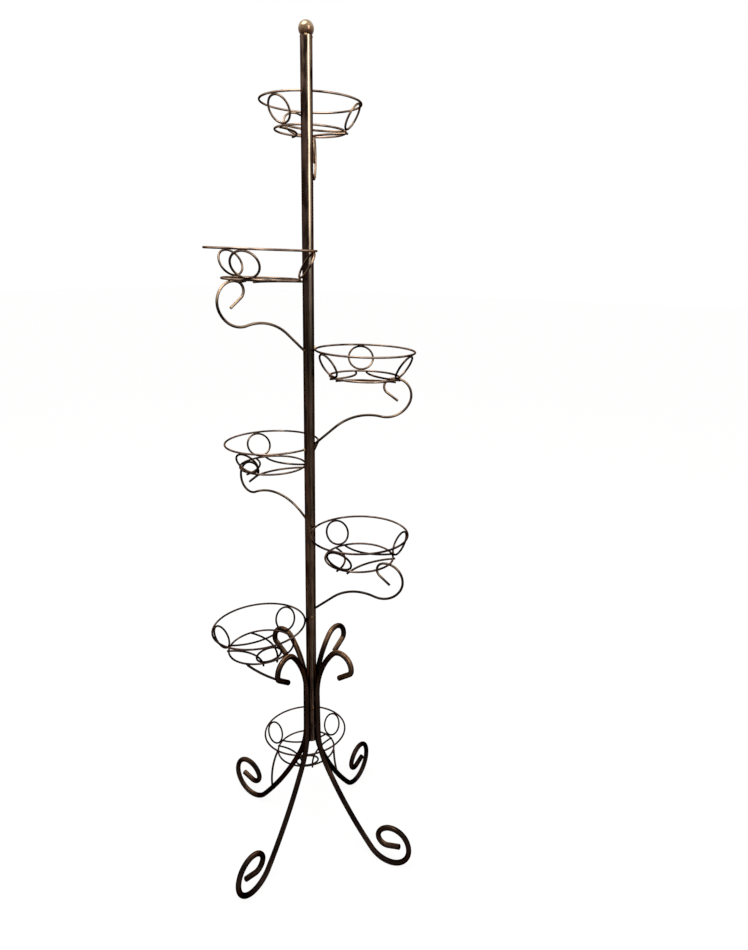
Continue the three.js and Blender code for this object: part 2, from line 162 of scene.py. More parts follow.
# %% A patina for the rods
def rubbed_bronze(name, ground, soot, rub, amount, stroke, roughness):
    """Bronze paint over steel rod. Stroke is the length of one wipe of the cloth, in mm."""
    material, tree = new_material(name)
    along = add(tree, "ShaderNodeAttribute", {"attribute_name": "rod"}).outputs["Vector"]
    place = add(tree, "ShaderNodeTexCoord").outputs["Object"]
    height = add(tree, "ShaderNodeSeparateXYZ", Vector=place).outputs["Z"]
    normal = add(tree, "ShaderNodeNewGeometry").outputs["Normal"]
    upward = add(tree, "ShaderNodeSeparateXYZ", Vector=normal).outputs["Z"]
    # streaks: as long as a stroke along the rod, and narrow round it
    stretched = add(tree, "ShaderNodeVectorMath", {"operation": "MULTIPLY"}, _0=along,
                    _1=(1 / stroke, 1 / STREAK_WIDTH, 1 / STREAK_WIDTH)).outputs["Vector"]
    streaks = add(tree, "ShaderNodeTexNoise", Vector=stretched, Scale=1.0, Detail=3.0,
                  Roughness=0.6).outputs["Fac"]
    patches = add(tree, "ShaderNodeTexNoise", Vector=place,
                  Scale=per_metre(PATCH_LENGTH * stroke), Detail=2.0).outputs["Fac"]
    flakes = add(tree, "ShaderNodeTexNoise", Vector=place, Scale=per_metre(FLAKE),
                 Detail=1.0).outputs["Fac"]
    # gold where it faces up is partly wax and partly painted highlight, and the gold that grows with
    # height is painted highlight, lighter higher up the stand
    wax_and_sheen = streaks
    for source, weight in ((upward, WAX_AND_SHEEN_ON_TOPS), (patches, IN_PATCHES), (height, SHEEN_PER_METRE_UP)):
        wax_and_sheen = add(tree, "ShaderNodeMath", {"operation": "MULTIPLY_ADD"}, _0=source, _1=weight,
                  _2=wax_and_sheen).outputs["Value"]
    gold = add(tree, "ShaderNodeMapRange", {"interpolation_type": "SMOOTHSTEP"}, Value=wax_and_sheen,
               From_Min=GOLD_FIRST - GOLD_PER_AMOUNT * amount,
               From_Max=GOLD_FULL - GOLD_PER_AMOUNT * amount).outputs["Result"]
    dark = add(tree, "ShaderNodeValToRGB", Fac=patches,
               stops=[(SOOT_AT, colour(soot)), (GROUND_AT, colour(ground))]).outputs["Color"]
    paint = add(tree, "ShaderNodeMix", {"data_type": "RGBA"}, Factor=gold, A=dark,
                B=colour(rub)).outputs["Result"]
    rough = add(tree, "ShaderNodeMapRange", Value=flakes, From_Min=NOISE_LOW,
                From_Max=NOISE_HIGH, To_Min=roughness - POLISHED,
                To_Max=roughness + GRAINY).outputs["Result"]
    relief = add(tree, "ShaderNodeBump", Strength=GRIT, Distance=FLAKE_HEIGHT,
                 Height=flakes).outputs["Normal"]
    shader = add(tree, "ShaderNodeBsdfPrincipled", Base_Color=paint, Metallic=1.0, Roughness=rough,
                 Specular_Tint=colour(EDGE_TINT), Normal=relief)
    add(tree, "ShaderNodeOutputMaterial", Surface=shader.outputs["BSDF"])
    return material


print("gold shows where the wax is over", round(GOLD_FIRST - GOLD_PER_AMOUNT, 2))

# %% Four patinas
# wire: thin, so the cloth reaches most of it; the pale copper on the rims' upper faces is partly
# painted highlight
basket_wire = rubbed_bronze("rubbed_bronze_on_wire", ground="#45342e", soot="#211715",
                            rub="#bfa48f", amount=1.0, stroke=30, roughness=0.28)
# the small rings and bows hang inside the basket, and get a darker paint with less gold than the
# rims
inner_wire = rubbed_bronze("dark_bronze_on_wire", ground="#2a1e1a", soot="#140d0b",
                           rub="#b0947a", amount=0.85, stroke=24, roughness=0.26)
# the arms get more gold than the wire, and the pale gold along their upper sides is partly painted
# highlight
arm_rod = rubbed_bronze("dark_bronze_on_arm_rod", ground="#2a1e1a", soot="#140d0b",
                        rub="#bba085", amount=1.15, stroke=45, roughness=0.26)
# bar: thick enough for a whole hand, so its wipes are the longest and the gold is a deep one
leg_bar = rubbed_bronze("rubbed_bronze_on_leg_bar", ground="#281c17", soot="#130d0b",
                        rub="#ad8564", amount=1.65, stroke=60, roughness=0.26)
print("patinas:", [m.name for m in (basket_wire, inner_wire, arm_rod, leg_bar)])

# %% [markdown]
# ## Bent rod
# A rod in a bending jig is straight runs and round turns, nothing else. So its middle line is a
# list of moves, and the rod is a circle carried along that line. A Blender curve with a round
# bevel would look much the same. Mesh code was chosen because it can store the rod's own
# coordinates for the patina, chamfer the sawn ends where the burr was filed off, and thicken the
# wire at a weld. Carrying the circle with as little twist as it can have keeps the streaks
# straight.

# %% Middle lines, in millimetres
COAT = 0.4  # the paint and the wax on every rod; it also closes the gap between welded pieces
BEND_STEP, RUN_STEP = 2.5, 12  # about the longest step along a bend, and along a straight run


def bend(start, heading, moves):
    """Points of a flat bend. A move is ("run", mm) or (degrees, radius), positive to the left."""
    at, angle = Vector(start), math.radians(heading)
    points = [at.copy()]
    for first, second in moves:
        if first == "run":
            steps = max(1, round(second / RUN_STEP))
            points += [at + Vector((math.cos(angle), math.sin(angle))) * second * i / steps
                       for i in range(1, steps + 1)]
            at = points[-1]
            continue
        turn = math.radians(first)
        side = math.copysign(1, turn)
        centre = at + Vector((-math.sin(angle), math.cos(angle))) * side * second
        steps = max(4, math.ceil(abs(turn) * second / BEND_STEP))
        for i in range(1, steps + 1):
            a = angle + turn * i / steps
            points.append(centre + Vector((math.sin(a), -math.cos(a))) * side * second)
        at, angle = points[-1], angle + turn
    return points


def arc(start, end, bulge):
    """Points of one arc between two places, which stands out from the straight line by a vector."""
    middle, half = (start + end) / 2, (end - start).length / 2
    along = (end - start).normalized()
    across = (bulge - along * bulge.dot(along)).normalized()
    rise = bulge.length
    radius = (half ** 2 + rise ** 2) / (2 * rise)
    sweep = 2 * math.asin(half / radius)
    steps = max(8, math.ceil(sweep * radius / BEND_STEP))
    turns = [sweep * (i / steps - 0.5) for i in range(steps + 1)]
    return [middle + across * (rise - radius * (1 - math.cos(a))) + along * radius * math.sin(a)
            for a in turns]


def polar(radius, angle, z):
    a = math.radians(angle)
    return Vector((radius * math.cos(a), radius * math.sin(a), z))


print("a quarter turn at 40 mm takes", len(bend((0, 0), 0, [(90, 40)])), "points")

# %% Frames along a line, and the skin between rings
def sections(points, closed):
    """At each point: the way along, and two ways across that twist as little as they can."""
    count = len(points)
    ways = []
    for i in range(count):
        before = points[i - 1] if closed or i else points[i]
        after = points[(i + 1) % count] if closed or i + 1 < count else points[i]
        ways.append((after - before).normalized())
    side = ways[0].orthogonal().normalized()
    frames = []
    for way in ways:
        side = (side - way * side.dot(way)).normalized()
        frames.append((way, side, way.cross(side)))
    return frames


def skin(rings, sides, closed=False, first=0):
    """The four-cornered faces between rings of vertices that follow each other."""
    faces = []
    for i in range(rings if closed else rings - 1):
        a, b = first + i * sides, first + (i + 1) % rings * sides
        faces += [(a + k, a + (k + 1) % sides, b + (k + 1) % sides, b + k) for k in range(sides)]
    return faces


print("two rings of 14 corners take", len(skin(2, 14)), "faces")

# %% Carry a circle along a line
WIRE_SIDES, ARM_SIDES, LEG_SIDES = 14, 16, 20  # corners of a rod's circle
CHAMFER = 0.12  # of the rod's radius


def saw_ends(places, frames, lengths, radius):
    """Adds a smaller circle at both ends, and moves the full ones inwards. Returns their scales."""
    chamfer = CHAMFER * radius
    scale = [1.0] * len(places)
    for end, inward in ((len(places) - 1, -1), (0, 1)):
        for row in (places, frames, lengths, scale):
            row.insert(end + (inward < 0), row[end])
        full = end + (inward > 0)
        places[full] = places[full] + frames[full][0] * chamfer * inward
    scale[0] = scale[-1] = 1 - chamfer / radius
    return scale


def rod_mesh(points, radius, sides, closed=False, swell=None, shape=None):
    """Vertices (mm), faces and rod coordinates. Swell thickens it and shape moves its vertices."""
    places, lengths = list(points), [0.0]
    for a, b in zip(places, places[1:]):
        lengths.append(lengths[-1] + (b - a).length)
    frames = sections(places, closed)
    scale = [1.0] * len(places) if closed else saw_ends(places, frames, lengths, radius)
    vertices, coordinates = [], []
    for i, (place, (_, across, other)) in enumerate(zip(places, frames)):
        r = radius * scale[i] * (swell(lengths[i]) if swell else 1)
        for k in range(sides):
            a = 2 * math.pi * k / sides
            vertices.append(place + (across * math.cos(a) + other * math.sin(a)) * r)
            coordinates.append((lengths[i], radius * math.cos(a), radius * math.sin(a)))
    rings = len(places)
    faces = skin(rings, sides, closed)
    if not closed:
        faces += [tuple(reversed(range(sides))), tuple(range((rings - 1) * sides, rings * sides))]
    if shape:
        vertices = shape(vertices, sides)
    return vertices, faces, coordinates


print("a circle of", LEG_SIDES, "corners leaves a 12 mm bar round to",
      round(6 * (1 - math.cos(math.pi / LEG_SIDES)), 2), "mm")

# %% Put a piece in the stand
SHARP = 40  # degrees: the chamfers and the sawn ends are sharp, and all the rest is round


def build(name, parts, material, nodes=(), matrix=None):
    """One piece from one or more meshes, in metres, that rides with the stand."""
    vertices, faces, coordinates = [], [], []
    for part_vertices, part_faces, part_coordinates in parts:
        first = len(vertices)
        vertices += [(matrix @ v if matrix else v) / 1000 for v in part_vertices]
        faces += [tuple(first + i for i in face) for face in part_faces]
        coordinates += part_coordinates
    mesh = bpy.data.meshes.new(name)
    mesh.from_pydata(vertices, [], faces)
    rod = mesh.attributes.new("rod", "FLOAT_VECTOR", "POINT")
    rod.data.foreach_set("vector", [x for c in coordinates for x in c])
    mesh.shade_smooth()
    mesh.set_sharp_from_angle(angle=math.radians(SHARP))
    mesh.materials.append(material)
    piece = bpy.data.objects.new(name, mesh)
    bpy.context.scene.collection.objects.link(piece)
    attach(piece, "root")
    if nodes:
        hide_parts(*nodes)
    return piece


print("edges of more than", SHARP, "degrees stay sharp")

# %% [markdown]
# ## Welds
# Every joint is a spot or a short bead of weld, and after painting it shows as a small lump with
# ripples, where the cloth left more gold than on the smooth rod. Beads could be sculpted one by
# one, but there are more than a hundred. So a bead is a flattened round mesh whose surface is
# pushed in and out by ripples along its length and by a little noise, and no two are the same.

# %% Weld beads
BEAD_ROWS, BEAD_COLUMNS = 12, 14
LUMP, LUMPS_PER_MM = 0.22, 0.7  # lumps stand out by up to a fifth, and are 1.4 mm across
RIPPLE, RIPPLES = 0.06, 5  # how far the ripples stand out, and how many halves of one there are

welds = rubbed_bronze("rubbed_bronze_on_weld_bead", ground="#3a2a22", soot="#1e1410",
                      rub="#9c7650", amount=0.95, stroke=12, roughness=0.36)
# a lump that stands alone on the tube catches the cloth from all sides, so it is almost all gold
strike_gold = rubbed_bronze("rubbed_gold_on_weld_strike", ground="#6b4f38", soot="#3a2a1f",
                            rub="#b79a72", amount=1.9, stroke=6, roughness=0.3)


def bead(at, along, length, width, seed=0.0):
    """Mesh of a bead: its middle, its direction, and its half length and half width in mm."""
    way = along.normalized()
    side = way.orthogonal().normalized()
    other = way.cross(side)
    vertices, coordinates = [at - way * length], [(0.0, 0.0, 0.0)]
    for i in range(1, BEAD_ROWS):
        b = math.pi * i / BEAD_ROWS
        for k in range(BEAD_COLUMNS):
            a = 2 * math.pi * k / BEAD_COLUMNS
            out = (side * math.cos(a) + other * math.sin(a)) * width * math.sin(b)
            p = at - way * length * math.cos(b) + out
            lump = LUMP * noise.noise(p * LUMPS_PER_MM + Vector((seed, 0, 0)))
            ripple = RIPPLE * math.sin(RIPPLES * math.pi * i / BEAD_ROWS)
            vertices.append(at + (p - at) * (1 + lump + ripple))
            coordinates.append((length * b, width * math.cos(a), width * math.sin(a)))
    vertices.append(at + way * length)
    coordinates.append((length * math.pi, 0.0, 0.0))
    last = len(vertices) - 1
    final_row = last - BEAD_COLUMNS
    faces = [(0, 1 + (k + 1) % BEAD_COLUMNS, 1 + k) for k in range(BEAD_COLUMNS)]
    faces += skin(BEAD_ROWS - 1, BEAD_COLUMNS, first=1)
    faces += [(last, final_row + k, final_row + (k + 1) % BEAD_COLUMNS)
              for k in range(BEAD_COLUMNS)]
    return vertices, faces, coordinates


print("a bead has", len(bead(Vector(), Vector((1, 0, 0)), 3, 2)[0]), "points")

# %% [markdown]
# ## The post's finish
# On a tube this wide the finish is the clearest to see: fine vertical wipe marks, and a ground that
# is lighter near the top and nearly black round 1.3 m. The rods' patina could be used again, but
# its streaks are too small to tell all this. So the tube gets a paint of its own, in layers: the
# ground, then black patches, soot, gold in the wipe marks, and at last three long pale stripes of
# painted highlight, one of them under the strip lamp's reflection, that fade out lower down.

# %% The tube's noises
MARK_SIZE = (1.6, 1.6, 120)  # mm across and along: one wipe mark
PATCH_SIZE = (9, 9, 60)  # one patch where the paint is nearly black
SOOT_SIZE = 110  # one cloud of soot

tube_paint, tree = new_material("rubbed_bronze_on_tube")
place = add(tree, "ShaderNodeTexCoord").outputs["Object"]
x_side, y_side, height = add(tree, "ShaderNodeSeparateXYZ", Vector=place).outputs
fine = add(tree, "ShaderNodeVectorMath", {"operation": "MULTIPLY"}, _0=place,
           _1=tuple(map(per_metre, MARK_SIZE))).outputs["Vector"]
marks = add(tree, "ShaderNodeTexNoise", Vector=fine, Scale=1.0, Detail=4.0,
            Roughness=0.65).outputs["Fac"]
wide = add(tree, "ShaderNodeVectorMath", {"operation": "MULTIPLY"}, _0=place,
           _1=tuple(map(per_metre, PATCH_SIZE))).outputs["Vector"]
patches = add(tree, "ShaderNodeTexNoise", Vector=wide, Scale=1.0, Detail=3.0,
              Roughness=0.55).outputs["Fac"]
soot = add(tree, "ShaderNodeTexNoise", Vector=place, Scale=per_metre(SOOT_SIZE),
           Detail=3.0).outputs["Fac"]
flakes = add(tree, "ShaderNodeTexNoise", Vector=place, Scale=per_metre(FLAKE),
             Detail=1.0).outputs["Fac"]
print("wipe marks on the tube:", MARK_SIZE[0], "by", MARK_SIZE[2], "mm")

# %% The tube's ground and its layers
GROUND_FROM, GROUND_TO = 0.3, 1.92  # m: the heights of the first and the last colour
# lighter at the top, and nearly black round 1.3 m, at the height of the third rim
GROUND = [(0.0, "#35261e"), (0.4, "#3a291f"), (0.54, "#33251e"), (0.59, "#141010"),
          (0.65, "#151111"), (0.7, "#2f2321"), (0.85, "#3f2f29"), (1.0, "#665246")]
# each layer: its colour, the noise that spreads it, and (noise, cover) where it starts and ends
LAYERS = [("#150d0b", patches, (0.45, 0.0), (0.6, 0.9)),
          ("#1b1411", soot, (0.52, 0.0), (0.68, 0.6)),
          ("#8f6c49", marks, (0.54, 0.0), (0.85, 0.5))]

level = add(tree, "ShaderNodeMapRange", Value=height, From_Min=GROUND_FROM,
            From_Max=GROUND_TO).outputs["Result"]
paint = add(tree, "ShaderNodeValToRGB", stops=[(at, colour(code)) for at, code in GROUND],
            Fac=level).outputs["Color"]
for code, spread, start, most in LAYERS:
    cover = add(tree, "ShaderNodeValToRGB", stops=[start, most], Fac=spread).outputs["Color"]
    paint = add(tree, "ShaderNodeMix", {"data_type": "RGBA"}, Factor=cover, A=paint,
                B=colour(code)).outputs["Result"]
print("layers on the ground:", len(LAYERS))

# %% The tube's painted highlight stripes
HIGHLIGHT_STRIPES, HIGHLIGHT_AZIMUTH = 3, -31  # three stripes of painted highlight, a third of a turn apart, and where the first one is, under the strip lamp's reflection
HIGHLIGHT_RAGGED = -0.9  # how much the patches eat into them
HIGHLIGHT_EDGE, HIGHLIGHT_FULL = 0.1, 0.55
FADE_FROM, FADE_TO = 1.3, 1.68  # m: they come in between these heights
FAINT, STRONG = 0.1, 0.9  # how much of them there is below and above
PAINTED_HIGHLIGHT_COLOUR = "#9a8a76"  # pale gold: painted highlight

azimuth = add(tree, "ShaderNodeMath", {"operation": "ARCTAN2"}, _0=y_side,
              _1=x_side).outputs["Value"]
turns = add(tree, "ShaderNodeMath", {"operation": "MULTIPLY_ADD"}, _0=azimuth, _1=HIGHLIGHT_STRIPES,
            _2=math.radians(-HIGHLIGHT_STRIPES * HIGHLIGHT_AZIMUTH)).outputs["Value"]
wave = add(tree, "ShaderNodeMath", {"operation": "COSINE"}, _0=turns).outputs["Value"]
ragged = add(tree, "ShaderNodeMath", {"operation": "MULTIPLY_ADD"}, _0=patches,
             _1=HIGHLIGHT_RAGGED, _2=wave).outputs["Value"]
highlight_band = add(tree, "ShaderNodeMapRange", {"interpolation_type": "SMOOTHSTEP"}, Value=ragged,
            From_Min=HIGHLIGHT_EDGE, From_Max=HIGHLIGHT_FULL).outputs["Result"]
fading = add(tree, "ShaderNodeMapRange", Value=height, From_Min=FADE_FROM, From_Max=FADE_TO,
             To_Min=FAINT, To_Max=STRONG).outputs["Result"]
painted_highlight = add(tree, "ShaderNodeMath", {"operation": "MULTIPLY"}, _0=highlight_band,
             _1=fading).outputs["Value"]
paint = add(tree, "ShaderNodeMix", {"data_type": "RGBA"}, Factor=painted_highlight, A=paint,
            B=colour(PAINTED_HIGHLIGHT_COLOUR)).outputs["Result"]
print("wipes at", [HIGHLIGHT_AZIMUTH + 360 // HIGHLIGHT_STRIPES * i for i in range(HIGHLIGHT_STRIPES)], "degrees")

# %% The tube's shine
TUBE_SMOOTHEST, TUBE_ROUGHEST = 0.14, 0.24  # a polished coat, duller in the wipe marks
TUBE_GRIT = 0.05  # the tube is rubbed smoother than the rods
TUBE_EDGE_TINT = "#8a7365"

rough = add(tree, "ShaderNodeMapRange", Value=marks, From_Min=NOISE_LOW, From_Max=NOISE_HIGH,
            To_Min=TUBE_SMOOTHEST, To_Max=TUBE_ROUGHEST).outputs["Result"]
relief = add(tree, "ShaderNodeBump", Strength=TUBE_GRIT, Distance=FLAKE_HEIGHT,
             Height=flakes).outputs["Normal"]
shader = add(tree, "ShaderNodeBsdfPrincipled", Base_Color=paint, Metallic=1.0, Roughness=rough,
             Specular_Tint=colour(TUBE_EDGE_TINT), Normal=relief)
add(tree, "ShaderNodeOutputMaterial", Surface=shader.outputs["BSDF"])
print("tube paint:", len(tree.nodes), "nodes")

# %% [markdown]
# ## The post
# The post is a 25 mm welded tube, 1.5 mm thick, that stops 292 mm above the floor, where it shows
# as an open mouth between the legs. A plain cylinder has no wall, so a profile is turned round
# the axis instead, up the outside and down the inside, as on a lathe.

# %% The tube
POST_RADIUS, POST_WALL, POST_CHAMFER = 12.5, 1.5, 0.3
POST_BOTTOM, POST_TOP = 292, 1918.7
POST_STEPS, POST_SIDES = 40, 64
CLEARANCE = 0.3  # left between pieces that are welded together


def turned(profile, sides):
    """A closed mesh from (radius, height) pairs turned round the post's axis."""
    vertices, coordinates = [], []
    for radius, z in profile:
        for k in range(sides):
            vertices.append(polar(radius, 360 * k / sides, z))
            coordinates.append((z, vertices[-1].x, vertices[-1].y))
    return vertices, skin(len(profile), sides, True), coordinates


wall_height = POST_TOP - POST_BOTTOM - 2 * POST_CHAMFER
heights = [POST_BOTTOM + POST_CHAMFER + wall_height * i / POST_STEPS
           for i in range(POST_STEPS + 1)]
outside = [(POST_RADIUS - POST_CHAMFER, POST_BOTTOM), *[(POST_RADIUS, z) for z in heights],
           (POST_RADIUS - POST_CHAMFER, POST_TOP)]
inside = [(POST_RADIUS - POST_WALL, z) for z in (POST_TOP, *heights[::-1], POST_BOTTOM)]
post = build("post", [turned(outside + inside, POST_SIDES)], tube_paint, ["post_tube"])
print("post:", len(post.data.vertices), "points,", POST_TOP - POST_BOTTOM, "mm long")

# %% [markdown]
# ## The ball
# The ball is 32 mm across and is tacked onto the tube's mouth. It is rubbed more than the rest,
# because it is what a hand takes hold of: a polished gold crown. Lower down it turns dark brown,
# and this dark underside and the corner where it meets the tube are painted shade. That could be
# painted by hand, but here the colour simply follows height, with a cloudy noise added. The mesh
# is turned, like the tube's.

# %% The ball's finish
BALL_RADIUS = 15.9
SHADED_BELOW, GOLD_ABOVE = -14, 10  # mm from the ball's middle: the colour runs from painted shade at the first to worn gold at the second
CLOUD_SIZE, CLOUDINESS = 5, 0.45  # mm, and how much the clouds move the colour
BALL_COLOURS = [(0.3, "#21140f"), (0.55, "#543b2b"), (0.85, "#8a7058"), (1.0, "#ab9475")]
BALL_SMOOTHEST, BALL_ROUGHEST = 0.12, 0.26

ball_height = POST_TOP + math.sqrt((BALL_RADIUS + CLEARANCE) ** 2
                                   - (POST_RADIUS - POST_WALL) ** 2)
ball_paint, tree = new_material("polished_gold_on_ball")
place = add(tree, "ShaderNodeTexCoord").outputs["Object"]
height = add(tree, "ShaderNodeSeparateXYZ", Vector=place).outputs["Z"]
cloud = add(tree, "ShaderNodeTexNoise", Vector=place, Scale=per_metre(CLOUD_SIZE), Detail=3.0,
            Roughness=0.6).outputs["Fac"]
level = add(tree, "ShaderNodeMapRange", Value=height, From_Min=(ball_height + SHADED_BELOW) / 1000,
            From_Max=(ball_height + GOLD_ABOVE) / 1000).outputs["Result"]
worn_and_shaded = add(tree, "ShaderNodeMath", {"operation": "MULTIPLY_ADD"}, _0=cloud, _1=CLOUDINESS,
           _2=level).outputs["Value"]
paint = add(tree, "ShaderNodeValToRGB", stops=[(at, colour(code)) for at, code in BALL_COLOURS],
            Fac=worn_and_shaded).outputs["Color"]
rough = add(tree, "ShaderNodeMapRange", Value=cloud, From_Min=NOISE_LOW, From_Max=NOISE_HIGH,
            To_Min=BALL_SMOOTHEST, To_Max=BALL_ROUGHEST).outputs["Result"]
shader = add(tree, "ShaderNodeBsdfPrincipled", Base_Color=paint, Metallic=1.0, Roughness=rough)
add(tree, "ShaderNodeOutputMaterial", Surface=shader.outputs["BSDF"])
print("ball's middle at", round(ball_height, 2), "mm")

# %% The ball and its tacks
BALL_ROWS, BALL_SIDES = 32, 48
AXIS_HOLE = 0.02  # of a row: the profile closes through a hole thinner than a hair
TACKS = (-55, 65, 185)  # degrees round the tube
TACK_SUNK, TACK_DOWN = 0.1, 1.2  # mm into the tube's side, and below its top
TACK_BEAD = (3.4, 2.2)  # half length and half width, as for every bead below

profile = [(BALL_RADIUS * math.sin(math.pi * (i + AXIS_HOLE) / BALL_ROWS),
            ball_height - BALL_RADIUS * math.cos(math.pi * i / BALL_ROWS))
           for i in range(BALL_ROWS + 1)]
profile[-1] = (profile[0][0], profile[-1][1])
build("ball", [turned(profile, BALL_SIDES)], ball_paint, ["ball_finial"])
tacks = [bead(polar(POST_RADIUS - TACK_SUNK, a, POST_TOP - TACK_DOWN), polar(1, a + 90, 0),
              *TACK_BEAD, a) for a in TACKS]
build("ball_tacks", tacks, strike_gold)
print("ball top at", round(ball_height + BALL_RADIUS, 2), "mm")

# %% [markdown]
# ## The legs
# Each leg is one bar of 12 mm round steel. It is bent into a hook at the top, runs down along the
# post, sweeps out, and ends in a scroll that stands on the floor. The scroll is three turns, each
# tighter than the last, and a short straight tip. It could be traced as a free curve, but bends
# with named radii stay true arcs when one of them is changed. The underside is ground a little
# flat where it stands.

# %% The leg's bends
LEG_RADIUS, LEG_STRAIGHT, FOOT_FLAT = 6, 107, 0.8
LEG_COAT = 1.8 * COAT  # the bar's paint is thicker than the wire's
STRAIGHT_STEPS = 10
FOOT_BENDS = [(26.5, 210), (14.5, 975), (52.5, 63.5),  # the sweep down to the floor
              (118, 55), (125, 42.5), (129, 22), ("run", 33.5)]  # the scroll and its tip
HOOK_BENDS = [(-41.5, 196), (-143, 33.7), (-50, 12.8), ("run", 40)]  # neck, crown, curl and tip
LEGS = [(5, -10), (91, -7), (176, -2), (268, 0)]  # azimuth of the foot, and the hook's turn from it

leg_out = POST_RADIUS + CLEARANCE + LEG_RADIUS
hook_line = bend((leg_out, LEG_STRAIGHT), 90, HOOK_BENDS)[::-1]
foot_line = bend((leg_out, 0), -90, FOOT_BENDS)
lift = LEG_RADIUS - FOOT_FLAT - min(p.y for p in foot_line)


def leg_points(azimuth, hook_turn):
    """The whole bar's middle line, from the hook's tip to the scroll's."""
    upper = [polar(p.x, azimuth + hook_turn, p.y + lift) for p in hook_line]
    lower = [polar(p.x, azimuth, p.y + lift) for p in foot_line]
    straight = [upper[-1].lerp(lower[0], i / STRAIGHT_STEPS) for i in range(1, STRAIGHT_STEPS)]
    return upper + straight + lower


def on_floor(vertices, sides):
    """Grinds the underside flat, at the floor."""
    return [Vector((v.x, v.y, max(v.z, 0.0))) for v in vertices]


for number, (azimuth, hook_turn) in enumerate(LEGS, 1):
    leg = rod_mesh(leg_points(azimuth, hook_turn), LEG_RADIUS + LEG_COAT, LEG_SIDES,
                   shape=on_floor)
    build(f"scroll_leg_{number}", [leg], leg_bar, [f"leg_{number}"])
print("leg: hook top at", round(max(p.y for p in hook_line) + lift + LEG_RADIUS, 1), "mm")

# %% The welds between the legs and the post
UP = Vector((0, 0, 1))
# lumps where the welder struck the rod on the tube: azimuth, height and half length
STRIKES = [(-36, 391, 7), (-52, 384, 4.5), (-41, 644, 4.5), (-122, 1068, 4.5), (34, 1300, 6)]
STRIKE_SUNK, STRIKE_WIDTH = 0.3, 3.0
LEG_WELD_LOW, LEG_WELD_HIGH = 12, 92  # mm up the leg's straight run
LEG_WELD_OUT, LEG_WELD_SIDE = 1.6, 14  # mm outside the tube, and degrees beside the leg
LEG_BEAD = (9, 2.4)

strikes = [bead(polar(POST_RADIUS - STRIKE_SUNK, a, z), UP, half, STRIKE_WIDTH, a)
           for a, z, half in STRIKES]
build("strike_marks", strikes, strike_gold)
for number, (azimuth, hook_turn) in enumerate(LEGS, 1):
    runs = [(lift + LEG_WELD_LOW, azimuth), (lift + LEG_WELD_HIGH, azimuth + hook_turn)]
    beads = [bead(polar(POST_RADIUS + LEG_WELD_OUT, a + side, z), UP, *LEG_BEAD, number + z)
             for z, a in runs for side in (-LEG_WELD_SIDE, LEG_WELD_SIDE)]
    build(f"leg_{number}_welds", beads, welds)
print("leg welds between", round(lift + LEG_WELD_LOW - LEG_BEAD[0]), "and",
      round(lift + LEG_WELD_HIGH + LEG_BEAD[0]), "mm")

# %% [markdown]
# ## The baskets
# A basket holds a pot of about 20 cm. Its rim is a ring of 4 mm wire, and a smaller ring hangs
# 58 mm below on three leaning link rings. Three bows, each bent to one arc, are spot-welded under
# the small ring, and their ends stick out a little past it. Each ring is closed by a butt weld,
# which leaves a slight swelling in the wire.
# One basket could be copied seven times, but real ones are welded by eye, so each has its own
# spacing and leans its own way. Those numbers are in the list below, and one loop makes them all.

# %% The basket's sizes
WIRE, RIM_RADIUS, BASE_RADIUS, DEPTH = 2.0, 112, 79, 58
BOW_END, BOW_INSET, BOW_DROP, BOW_TO_LINK = 84, 33, 3.164, 9
Basket = namedtuple("Basket", "azimuth height links lean roll")  # lean is outward, roll sideways
BASKETS = [
    Basket(122.7, 1823, (24, 140, 257.5), -0.2, -0.9),
    Basket(258.3, 1508, (33.5, 152.5, 273), -0.1, 1.3),
    Basket(39.8, 1294.5, (88, 205, 326.5), 0.9, -0.6),
    Basket(172.1, 1063.5, (100, 220, 338), 0.6, 1.3),
    Basket(8.9, 880.6, (31.5, 147, 266), -0.3, -1),
    Basket(220.1, 626.8, (102.5, 228.5, 348.5), 4.1, -0.8),
    Basket(133.4, 203.5, (58.5, 176, 300.5), 2.5, 1.9),
]
CROSSING_BASKET, CROSSING_BOW = 6, (202.5, 86.5, 28)  # its first bow crosses the others
LAST_BASKET_OUT = 154.7  # below the post's end, the rim rests against the backs of two legs
side_slope = math.atan2(RIM_RADIUS - BASE_RADIUS, DEPTH)


def basket_matrix(number):
    """From a basket's own frame, with +X away from the post, to the stand's, in mm."""
    basket = BASKETS[number - 1]
    distance = POST_RADIUS + CLEARANCE + WIRE + RIM_RADIUS * math.cos(math.radians(basket.lean))
    if number == len(BASKETS):
        distance = LAST_BASKET_OUT
    turn = (Matrix.Rotation(math.radians(basket.azimuth), 4, "Z")
            @ Matrix.Rotation(math.radians(basket.lean), 4, "Y")
            @ Matrix.Rotation(-math.radians(basket.roll), 4, "X"))
    return Matrix.Translation(polar(distance, basket.azimuth, basket.height)) @ turn


print("rim 1 stands at", tuple(round(x, 1) for x in basket_matrix(1).translation))
print("the baskets' sides lean out by", round(math.degrees(side_slope)), "degrees")

# %% Rings, link rings and bows
RINGS = [  # name, radius, height, steps round it, and where its butt weld is, in mm round it
    ("rim", RIM_RADIUS, 0, 180, 300),
    ("base", BASE_RADIUS, -DEPTH, 144, 90),
]
LINK_STEPS = 72
BUTT_SWELL, BUTT_HALF = 0.1, 2.4  # of the wire's radius, and mm along it


def circle(radius, z, steps):
    return [polar(radius, 360 * i / steps, z) for i in range(steps)]


def butt_weld(length, place):
    """A wire thickened by a tenth over a few mm, where its two ends were welded together."""
    return lambda s: 1 + BUTT_SWELL * math.exp(-(((s - place) % length) / BUTT_HALF) ** 2)


